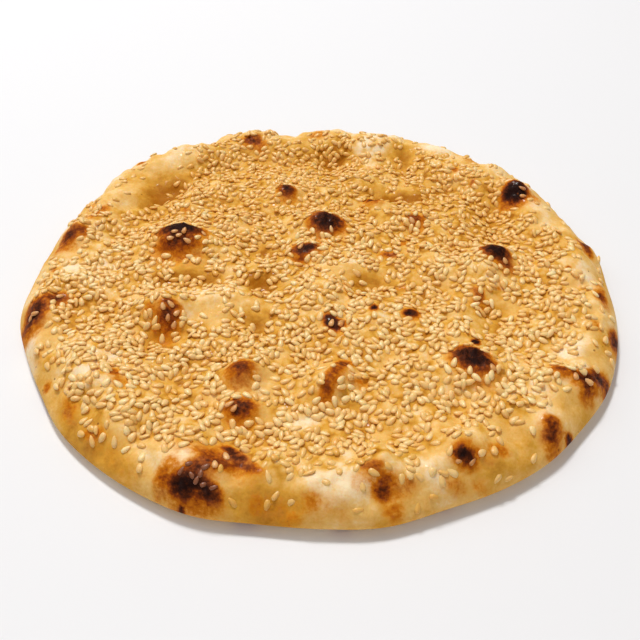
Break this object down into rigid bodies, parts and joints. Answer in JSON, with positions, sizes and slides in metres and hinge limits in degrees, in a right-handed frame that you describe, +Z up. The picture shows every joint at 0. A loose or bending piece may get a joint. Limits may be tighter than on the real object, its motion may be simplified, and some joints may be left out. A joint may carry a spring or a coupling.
{
  "type": "sesame naan bread",
  "caption": "Whole round baked naan, uneven and puffed, with a rolled edge, charred blisters, bare hollows and a sesame seed topping.",
  "frame": {"origin": "on the surface the naan rests on, under the middle of its bounding box", "axes": "+Z up through the seeded face; the flat underside lies in z = 0; -Y is the side nearest the viewer in the picture, +X the viewer's right"},
  "size_m": [0.207, 0.2052, 0.0189],
  "materials": {
    "baked_dough": null
  },
  "bodies": {
    "root": {"naan": "baked_dough"}
  },
  "joints": []
}
